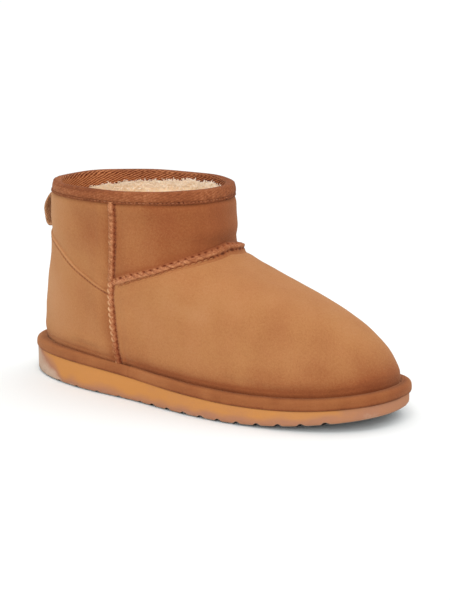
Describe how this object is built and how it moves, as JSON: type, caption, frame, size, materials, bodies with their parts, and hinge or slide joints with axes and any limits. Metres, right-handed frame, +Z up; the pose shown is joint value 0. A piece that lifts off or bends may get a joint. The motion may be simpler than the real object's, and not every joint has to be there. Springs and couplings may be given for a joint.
{
  "type": "sheepskin boot",
  "caption": "Low sheepskin boot for the right foot: foam wedge sole, suede rand, hollow suede upper with raised seams and heel counter, taped collar and pull loop.",
  "frame": {"origin": "middle of the boot's box, on the floor that it stands on", "axes": "+X towards the toe, +Y towards the inner side of the right foot, +Z up"},
  "size_m": [0.257, 0.0994, 0.1278],
  "materials": {
    "suede": "napped, matte",
    "suede_dark": "napped, matte",
    "tape": "twill woven tape",
    "foam": "moulded foam, satin",
    "fleece": "curly wool pile",
    "thread": "twisted sewing thread"
  },
  "bodies": {
    "root": {"sole": "foam", "rand": "suede_dark", "upper": "suede", "insole": "fleece", "heel_counter": "suede", "side_seam_lateral": "suede", "side_seam_medial": "suede", "vamp_seam": "suede", "binding": "tape", "pull_loop": "tape"}
  },
  "joints": []
}
